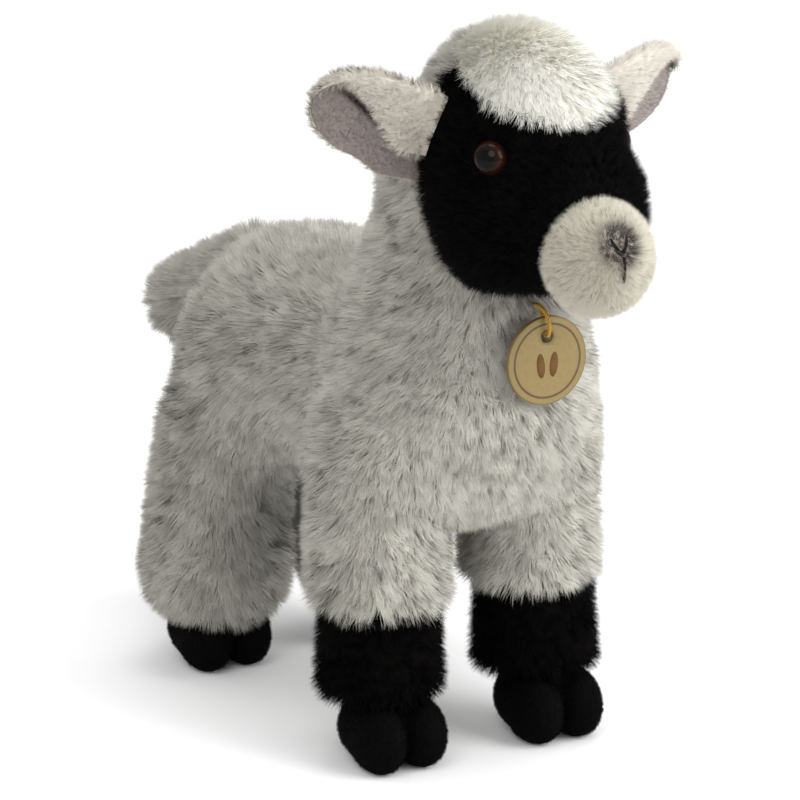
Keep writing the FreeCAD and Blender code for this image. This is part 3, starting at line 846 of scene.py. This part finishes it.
EYE_SINK = {"right": 0.0, "left": 2.6}          # the left eye is sewn in deeper
for side_name, sign in (("right", -1), ("left", 1)):
    place = EYE * np.array([sign, 1, 1])
    outward = unit((place - HEAD) / np.array([39.0, 48.5, 48.5]) ** 2)
    profile = [(6.1 * math.sin(a), -4.6 + 4.7 * math.cos(a)) for a in np.linspace(0.0, 1.45, 18)]
    profile += [(6.2, -4.4), (6.15, -5.4), (5.4, -6.1)]
    profile[0] = (0.01, profile[0][1])
    eye = lathe("eye_" + side_name, place - outward * EYE_SINK[side_name], outward, profile, EYE_GLASS)
    eye_nodes = ["eye_" + piece + "_" + side_name for piece in ("dome", "disc", "shank")]
    attach(eye, "head", "eye_gloss", eye_nodes)

# ---- ears --------------------------------------------------------------------------------
EAR_ROOT = np.array([-37.5, -90.0, 241.0])
EAR_LENGTH = 39.5
EAR_HALF_WIDTH = 16.0
EAR_ROWS = 40
EAR_COLUMNS = 72
ear_along = unit(np.array([-0.90, 0.22, 0.37]))
ear_across = np.array([0.0, -0.25, 1.0])
ear_across = unit(ear_across - ear_along * (ear_across @ ear_along))
ear_facing = -np.cross(ear_along, ear_across)
EAR_DROOP = {-1: 0.0, 1: math.radians(12.0)}    # the left ear hangs lower than the right
EAR_SEWN = 0.20                 # share of the leaf that curves in to the head
EAR_SEAM_DEPTH = 3.0


def ear_width(s):
    tip = np.clip((s - 0.40) / 0.60, 0, 1)
    return EAR_HALF_WIDTH * np.sqrt(np.clip(1 - tip ** 2.4, 0, 1))


def ear_section(s):
    """Corners of the folded leaf at s, as (across in half widths, forward in mm)."""
    fold = 1 - np.clip((s - 0.62) / 0.22, 0, 1)
    crease = -0.45 + 1.0 * s
    edge = min(max(-0.75 + 2.2 * s, -0.45), 0.35 + 1.6 * (s - 0.5), 0.90)
    lobe = 0.42 * max(0.0, 1 - s / 0.5) ** 1.6
    return [
        (-1.0 - lobe, 1.2), (-0.80 - lobe, 0.2), ((crease - 1.0) / 2 - 0.08, 0.2),
        (crease - 0.14, 0.5 * fold + 0.2), (crease, -3.0 * fold), (crease + 0.14, 0.6 * fold - 0.6),
        ((crease + 1.0) / 2, 0.2), (0.92, 1.2), (1.0, 3.0), (0.95, 5.0), ((edge + 0.95) / 2, 5.8),
        (edge + 0.03, 4.6), (edge, 3.8),
    ]


def ear_grid(offset):
    """The leaf's skin pushed by offset towards the outer cloth."""
    grid = np.zeros((EAR_ROWS, EAR_COLUMNS, 3))
    for i, s in enumerate(np.linspace(0.0, 1.0, EAR_ROWS)):
        width = max(ear_width(s), 0.8)
        depth = min(1.0, 0.35 + width / EAR_HALF_WIDTH)
        corners = [(w * width, n * depth - 2.0 * s ** 2) for w, n in ear_section(float(s))]
        line = smooth_line(corners, EAR_COLUMNS)
        direction = unit(np.gradient(line, axis=0))
        outer = np.stack([direction[:, 1], -direction[:, 0]], 1)
        line = line + outer * offset * depth
        grid[i, :, 0] = s * EAR_LENGTH
        grid[i, :, 1:] = line
    return grid


def ear_place(grid, sign):
    """The leaf on its side of the head, with its root end drawn in to the head's skin."""
    flat = grid.reshape(-1, 3)
    turn = EAR_DROOP[sign]
    along = ear_along * math.cos(turn) - ear_across * math.sin(turn)
    across = ear_across * math.cos(turn) + ear_along * math.sin(turn)
    spot = EAR_ROOT + flat[:, :1] * along + flat[:, 1:2] * across + flat[:, 2:3] * ear_facing
    sewn = np.clip(1 - flat[:, 0] / (EAR_SEWN * EAR_LENGTH), 0, 1)
    sewn = sewn * sewn * (3 - 2 * sewn)
    proud = np.clip(near_field(head_field, spot) + EAR_SEAM_DEPTH, 0, None)
    spot = spot - slope(head_field, spot) * (proud * sewn)[:, None]
    return spot * np.array([-sign, 1, 1])


def mesh_normals(points, quads):
    n = np.zeros_like(points)
    face = np.cross(points[quads[:, 2]] - points[quads[:, 0]], points[quads[:, 3]] - points[quads[:, 1]])
    for k in range(4):
        np.add.at(n, quads[:, k], face)
    return unit(n)


def ear_outward(sign):
    along = ear_along * np.array([-sign, 1, 1])
    across = ear_across * np.array([-sign, 1, 1])

    def comb(root, normal):
        return swirled(along, normal, root, 9.0, 81, 0.25) - across * 0.25
    return comb


def ear_cream_tint(root, own, rng):
    return 0.5 + own[:, 2] * 0.10 + wave(root, 8.0, 82) * 0.08 + rng.normal(0, 0.12, len(root))


def taupe_tint(root, own, rng):
    return 0.5 + own[:, 2] * 0.16 + wave(root, 4.0, 83) * 0.10 + rng.normal(0, 0.14, len(root))


def clear_of_head(root):
    return near_field(head_field, root) > -1.5


for side_name, sign in (("right", -1), ("left", 1)):
    outer = ear_place(ear_grid(0.8), sign)
    inner = ear_place(ear_grid(-0.3), sign)
    flip = sign < 0
    leaf_quads = grid_quads(EAR_ROWS, EAR_COLUMNS)
    outer_quads = leaf_quads[:, ::-1] if flip else leaf_quads
    inner_quads = leaf_quads if flip else leaf_quads[:, ::-1]
    outside = head_field(middle(outer, outer_quads)) > -4.0
    outer_normals = mesh_normals(outer, outer_quads)
    inner_normals = mesh_normals(inner, inner_quads)
    number = np.arange(len(outer)).reshape(EAR_ROWS, EAR_COLUMNS)
    border = np.concatenate([number[:, 0], number[-1, 1:], number[::-1, -1][1:]])
    here, following = border[:-1], border[1:]
    rim = np.stack([here, following, following + len(outer), here + len(outer)], 1)
    rim = rim if flip else rim[:, ::-1]
    both_skins = np.vstack([outer, inner])
    rim = rim[head_field(both_skins[rim].mean(1)) > -4.0]
    shell = new_mesh("ear_outer_" + side_name, both_skins, np.vstack([outer_quads[outside], rim]), EAR_CLOTH)
    attach(shell, "ear_" + side_name, "cream_plush", ["ear_outer_" + side_name])
    lining = new_mesh("ear_lining_" + side_name, inner, inner_quads[outside], TAUPE_CLOTH)
    attach(lining, "ear_" + side_name, "taupe_velour", ["ear_lining_" + side_name])
    attach(pile("ear_outer_" + side_name + "_pile", (outer, outer_quads), outer_normals, EAR_CREAM, 9.0,
                even(3.8), 0.22, ear_outward(sign), ear_cream_tint, 220 + sign,
                lean=54, tuft=1.6, pull=0.2, stray=0.25, shade=0.1, inside=clear_of_head),
           "ear_" + side_name, "cream_plush")
    attach(pile("ear_lining_" + side_name + "_pile", (inner, inner_quads), inner_normals, TAUPE, 9.0,
                even(1.5), 0.24, ear_outward(sign), taupe_tint, 223 + sign,
                lean=38, tuft=0.9, pull=0.25, stray=0.5, shade=0.25, inside=clear_of_head),
           "ear_" + side_name, "taupe_velour")

# ---- tail --------------------------------------------------------------------------------
tail_up = np.cross(np.array([1.0, 0, 0]), TAIL_ALONG)
points, quads, normals = skin_of(tail_field, (-26, 80, 94), (26, 174, 176), STEP, DEPTH)
over = ((middle(points, quads) - TAIL_ROOT) @ tail_up) > 0
tail_where = ("torso", "tail", tuple(TAIL_ROOT - TAIL_ALONG * 1.0), tuple(TAIL_ROOT + TAIL_ALONG * 15.0))


def along_tail(root, normal):
    return swirled(TAIL_ALONG, normal, root, 12.0, 91, 0.5)


# Darker than the body's pile: partly a painted shade for the tail behind the haunch, partly its own browner
# tone.
def tail_tint(root, own, rng):
    return grey_tint(root, own, rng) - 0.12


for name, wanted, nodes, seed in (("tail_panel_upper", over, ["tail_panel_upper", "tail_stuffing"], 231),
                                  ("tail_panel_lower", ~over, ["tail_panel_lower"], 232)):
    furred(name, part_of(points, quads, normals, wanted), GREY_CLOTH, tail_where, "grey_plush", nodes,
           GREY, GREY_DENSITY, long_pile, GREY_WIDTH, along_tail, tail_tint, seed,
           lean=34, tuft=3.6, pull=0.4, shade=0.2)

# ---- cuffs and hooves ------------------------------------------------------------------------
CUFF_DEPTH = 4.5
# Its roots are darker than its tips: painted shade between the tufts.
VELBOA = pile_material("black_velboa", [(1, 1, 1), (4, 4, 4), (9, 9, 8)],
                       [(4, 4, 4), (10, 9, 9), (22, 20, 19)], roughness=0.6, gloss=0.04)
HOOF_DEPTH = 1.0
HOOF_PLACES = {"front": -60.5, "hind": 72.0}
HOOF_X = 33.0
SOLE_RISE = 2.2                 # the sole is what lies lower than this


def cuff_field(p):
    top = (-LEG_X - 0.3, FRONT_LEG_Y - 1.0, 100)
    d = round_cone(p, top, (-LEG_X - 0.8, FRONT_LEG_Y - 1.5, 24), 21.5, 25.2)
    return np.maximum(np.maximum(d, 23.5 - p[..., 2]), p[..., 2] - 66.0)


def hoof_field(y):
    def field(p):
        q = p - np.array([-HOOF_X, y, 0], np.float32)
        heel = ellipsoid(q, (0, 2.5, 13.0), (17.0, 17.5, 15.0))
        toes = np.minimum(ellipsoid(q, (-8.4, -8.5, 12.6), (9.9, 15.4, 14.2)),
                          ellipsoid(q, (8.4, -8.5, 12.6), (9.9, 15.4, 14.2)))
        return np.maximum(join(toes, heel, 2.0), 0.3 - q[..., 2] - HOOF_DEPTH)
    return field


def mirrored(points, quads, normals, sign):
    """The right side's mesh, or its mirror image for the left side."""
    if sign < 0:
        return points, quads, normals
    flip = np.array([-1.0, 1, 1])
    return points * flip, quads[:, ::-1], normals * flip


def cuff_comb(root, normal):
    return swirled(np.array([0.0, 0.0, -1.0]), normal, root, 9.0, 95, 0.5)


def black_tint(root, own, rng):
    return 0.22 + 0.16 * own[:, 2] + rng.normal(0, 0.09, len(root))


cuff_skin = skin_of(cuff_field, (-66, -94, 20), (0, -20, 72), STEP, CUFF_DEPTH)
hoof_skins = {pair: skin_of(hoof_field(y), (-58, y - 28, -1), (-8, y + 26, 32), STEP * 0.7, HOOF_DEPTH)
              for pair, y in HOOF_PLACES.items()}
for side_name, sign in (("right", -1), ("left", 1)):
    body = "front_leg_" + side_name
    furred(body + "_cuff", mirrored(*cuff_skin, sign), BLACK_CLOTH, body, "black_plush", [body + "_cuff"],
           BLACK, 4.5, even(6.8), 0.32, cuff_comb, black_tint, 240 + sign,
           lean=46, tuft=2.6, pull=0.45, stray=0.3, shade=0.2, inside=lambda root: root[:, 2] < 64)
    for pair in HOOF_PLACES:
        body = pair + "_leg_" + side_name
        skin = mirrored(*hoof_skins[pair], sign)
        flat = middle(*skin[:2])[:, 2] < SOLE_RISE
        furred(body + "_hoof", part_of(*skin, ~flat), BLACK_CLOTH, body, "black_velboa",
               [body + "_hoof", body + "_pellet_pouch"],
               VELBOA, 6.0, even(1.3), 0.24, cuff_comb, black_tint, 250 + sign + len(pair),
               lean=46, tuft=1.2, pull=0.2, stray=0.5, shade=0.15)
        sole_points, sole_quads, _ = part_of(*skin, flat)
        sole = new_mesh(body + "_sole", sole_points, sole_quads, BLACK_CLOTH)
        attach(sole, body, "black_velboa", [body + "_sole"])

# ---- hang tag ------------------------------------------------------------------------------
TAG_R = 16.0
TAG_Y = -116.4
TAG_Z = 159.5
LEAF = 0.9                      # from one leaf to the next
LEAF_THICKNESS = LEAF * 0.8
TAG_HOLE_Z = 168.2
TAG_HOLE_R = 2.4
TAG_CENTRE = np.array([0.0, TAG_Y, TAG_Z])


def tag_material(name, gold, deep, line):
    """Gold card: a grain, a darker rim and a fine printed ring, about the tag's middle."""
    material, nodes, links, shader = new_material(name)
    place = nodes.new("ShaderNodeTexCoord")
    offset, flat, length = (nodes.new("ShaderNodeVectorMath") for _ in range(3))
    offset.operation = "SUBTRACT"
    offset.inputs[1].default_value = tuple(to_frame(TAG_CENTRE))
    flat.operation = "MULTIPLY"
    flat.inputs[1].default_value = (1.0, 0.0, 1.0)
    length.operation = "LENGTH"
    scale = nodes.new("ShaderNodeMath")
    scale.operation = "MULTIPLY"
    scale.inputs[1].default_value = 1000.0 / TAG_R
    ring = nodes.new("ShaderNodeValToRGB")
    stops = [(0.0, gold), (0.80, gold), (0.815, line), (0.85, line), (0.865, gold), (0.96, gold)]
    ring.color_ramp.elements[0].position = stops[0][0]
    ring.color_ramp.elements[0].color = srgb(*stops[0][1])
    ring.color_ramp.elements[1].position = 1.0
    ring.color_ramp.elements[1].color = srgb(*deep)
    for position, colour in stops[1:]:
        ring.color_ramp.elements.new(position).color = srgb(*colour)
    grain = nodes.new("ShaderNodeTexNoise")
    grain.inputs["Scale"].default_value = 700.0
    grain.inputs["Detail"].default_value = 4.0
    tone = nodes.new("ShaderNodeMix")
    tone.data_type = "RGBA"
    tone.blend_type = "MULTIPLY"
    tone.inputs["Factor"].default_value = 0.35
    links.new(place.outputs["Object"], offset.inputs[0])
    links.new(offset.outputs[0], flat.inputs[0])
    links.new(flat.outputs[0], length.inputs[0])
    links.new(length.outputs["Value"], scale.inputs[0])
    links.new(scale.outputs[0], ring.inputs[0])
    links.new(place.outputs["Object"], grain.inputs["Vector"])
    links.new(ring.outputs[0], tone.inputs["A"])
    links.new(grain.outputs["Color"], tone.inputs["B"])
    links.new(tone.outputs["Result"], shader.inputs["Base Color"])
    shader.inputs["Roughness"].default_value = 0.55
    shader.inputs["Metallic"].default_value = 0.1
    return material


TAG_GOLD = tag_material("tag_gold_card", (134, 114, 66), (106, 84, 46), (80, 58, 34))
TAG_PRINT = cloth_material("tag_brown_print", (84, 60, 36), (108, 80, 50), 1500.0, 0.6)


def leaf(name, front_y, thick, material):
    """A round card leaf with softened edges and a punched hole."""
    sides = 96
    turn = np.arange(sides) * 2 * math.pi / sides
    profile = [(0.0, thick * 0.35), (0.12, 0.0), (0.5, 0.0), (0.97, 0.0), (1.0, thick * 0.25),
               (1.0, thick * 0.75), (0.97, thick), (0.5, thick), (0.12, thick), (0.0, thick * 0.65)]
    circle = np.stack([np.cos(turn), np.zeros(sides), np.sin(turn)], 1)
    hole = circle * TAG_HOLE_R + np.array([0, 0, TAG_HOLE_Z - TAG_Z])
    edge = circle * TAG_R
    rings = []
    for share, back in profile:
        ring = hole * (1 - share) + edge * share
        ring[:, 1] = back
        rings.append(ring + np.array([0, front_y, TAG_Z]))
    points = np.vstack(rings)
    faces = grid_quads(len(profile) + 1, sides, closed=True) % len(points)
    return new_mesh(name, points, faces[:, ::-1], material)


def hoof_print(name):
    """A small printed hoof mark: two drop shapes side by side."""
    count = 40
    turn = np.arange(count) * 2 * math.pi / count
    radius = 1 + 0.18 * np.cos(turn)
    step = np.arange(count)
    cap = np.stack([step, np.full(count, 2 * count), (step + 1) % count], 1)
    points, quads, tris = [], [], []
    for k, sign in enumerate((-1, 1)):
        x = sign * (2.35 + 1.75 * radius * np.cos(turn) * 0.95 + 0.35 * np.sin(turn))
        z = -1.6 + 4.9 * radius * np.sin(turn) * 0.9
        back, front = (np.stack([x, np.full(count, rise), z], 1) for rise in (-0.06, 0.03))
        points += [back, front, [[x.mean(), -0.06, z.mean()]]]
        base = k * (2 * count + 1)
        quads.append(grid_quads(2, count, closed=True) + base)
        tris.append(cap + base)
    return new_mesh(name, np.vstack(points) + TAG_CENTRE, [np.vstack(quads), np.vstack(tris)], TAG_PRINT,
                    smooth=False)


front_leaf, back_leaf = [attach(leaf(name, front_y, LEAF_THICKNESS, TAG_GOLD), "tag", "tag_card", [name])
                         for name, front_y in (("tag_front_leaf", TAG_Y), ("tag_back_leaf", TAG_Y + LEAF))]
print_mark = attach(hoof_print("tag_hoof_print"), "tag", "tag_card")

# ---- tag cord: the route that the CAD tube follows ------------------------------------------
CORD_ROUTE = [
    (0.95, -108.6, 178.0), (0.95, -110.4, 177.2), (0.8, -112.0, 174.6), (0.6, -112.6, 171.4),
    (0.3, -113.5, 169.0), (0.0, -115.5, 168.2), (-0.3, -117.6, 169.0), (-0.6, -118.6, 171.6),
    (-0.8, -118.5, 174.8), (-0.9, -116.4, 177.3), (-0.95, -113.2, 178.7), (-0.95, -110.6, 178.8),
    (-0.95, -108.6, 178.2),
]
GOLD_THREAD = cloth_material("gold_thread", (128, 88, 26), (206, 164, 78), 2200.0, 0.4)
GOLD_THREAD.node_tree.nodes["Principled BSDF"].inputs["Metallic"].default_value = 0.4


def cord_line():
    """Points of the smooth curve that has the route's points as its control points."""
    curve = bpy.data.curves.new("cord_route", "CURVE")
    curve.dimensions = "3D"
    spline = curve.splines.new("NURBS")
    spline.points.add(len(CORD_ROUTE) - 1)
    for point, spot in zip(spline.points, to_frame(CORD_ROUTE)):
        point.co = (*spot, 1.0)
    spline.order_u = 3
    spline.use_endpoint_u = True
    spline.resolution_u = 8
    holder = bpy.data.objects.new("cord_route", curve)
    bpy.context.scene.collection.objects.link(holder)
    mesh = bpy.data.meshes.new_from_object(holder)
    line = np.array([v.co for v in mesh.vertices])
    bpy.data.objects.remove(holder)
    return line


cord_path = cord_line()
travelled = np.concatenate([[0], np.cumsum(np.linalg.norm(np.diff(cord_path, axis=0), axis=1))]) * 1000.0
fine = np.linspace(0, travelled[-1], 150)
cord_mm = np.stack([np.interp(fine, travelled, cord_path[:, k] * 1000.0) for k in range(3)], 1) - SHIFT
cord_along = unit(np.gradient(cord_mm, axis=0))
cord_up = unit(np.cross(cord_along, np.array([1.0, 0.2, 0.1])))
cord_out = np.cross(cord_along, cord_up)
strands = []
for strand in range(3):
    turn = fine / 3.4 * 2 * math.pi + strand * 2 * math.pi / 3
    strands.append(cord_mm + 0.46 * (cord_up * np.cos(turn)[:, None] + cord_out * np.sin(turn)[:, None]))
cord = tubes("tag_cord", strands, [0.34] * 3, GOLD_THREAD, 10)
attach(cord, "tag_cord", "gold_cord", ["tag_cord"])

# ---- care label ------------------------------------------------------------------------------
SATIN = cloth_material("white_satin", (232, 232, 230), (250, 250, 248), 3000.0, 0.35)
label = frame["nodes"]["care_label"]
label.data.materials.clear()
label.data.materials.append(SATIN)

# ---- camera, light and floor -----------------------------------------------------------
CAMERA_AZIMUTH = -30.0
CAMERA_HEIGHT_ANGLE = 16.0
CAMERA_DISTANCE = 2000.0
AIM = np.array([8.9, 1.85, 114.6])


def make_camera():
    azimuth = math.radians(CAMERA_AZIMUTH)
    height = math.radians(CAMERA_HEIGHT_ANGLE)
    level = np.array([math.sin(azimuth), -math.cos(azimuth), 0.0]) * math.cos(height)
    away = level + np.array([0.0, 0.0, math.sin(height)])
    data = bpy.data.cameras.new("camera")
    data.lens = 243.0
    data.sensor_width = 36.0
    data.clip_end = 50.0
    camera = bpy.data.objects.new("camera", data)
    bpy.context.scene.collection.objects.link(camera)
    camera.location = to_frame(AIM + away * CAMERA_DISTANCE)
    camera.rotation_euler = (math.radians(90.0 - CAMERA_HEIGHT_ANGLE), 0.0, azimuth)
    bpy.context.scene.camera = camera


def make_light(name, position, size, power, target=(0.0, 0.0, 0.14)):
    data = bpy.data.lights.new(name, "AREA")
    data.shape = "DISK"
    data.size = size
    data.energy = power
    light = bpy.data.objects.new(name, data)
    bpy.context.scene.collection.objects.link(light)
    light.location = position
    aim = np.array(target) - np.array(position)
    tip = math.acos(-aim[2] / np.linalg.norm(aim))
    light.rotation_euler = (tip, 0.0, math.atan2(aim[1], aim[0]) - math.pi / 2)


def make_stage():
    bpy.ops.mesh.primitive_plane_add(size=12.0, location=(0, 0, 0))
    floor = bpy.context.object
    floor.name = "floor"
    white, _, _, shader = new_material("floor_white")
    shader.inputs["Base Color"].default_value = (0.97, 0.97, 0.97, 1)
    shader.inputs["Roughness"].default_value = 0.9
    shader.inputs["Specular IOR Level"].default_value = 0.0
    floor.data.materials.append(white)
    world = bpy.data.worlds.new("studio")
    bpy.context.scene.world = world
    world.use_nodes = True
    world.node_tree.nodes["Background"].inputs["Color"].default_value = (1, 1, 1, 1)
    world.node_tree.nodes["Background"].inputs["Strength"].default_value = 0.85
    bpy.context.scene.view_settings.view_transform = "Standard"


make_camera()
make_light("key", (1.0, -1.6, 1.1), 1.6, 36.0)
make_light("fill", (-1.1, -1.2, 1.3), 1.2, 12.0)
make_light("top", (0.1, 0.1, 1.9), 1.0, 7.0)
make_stage()
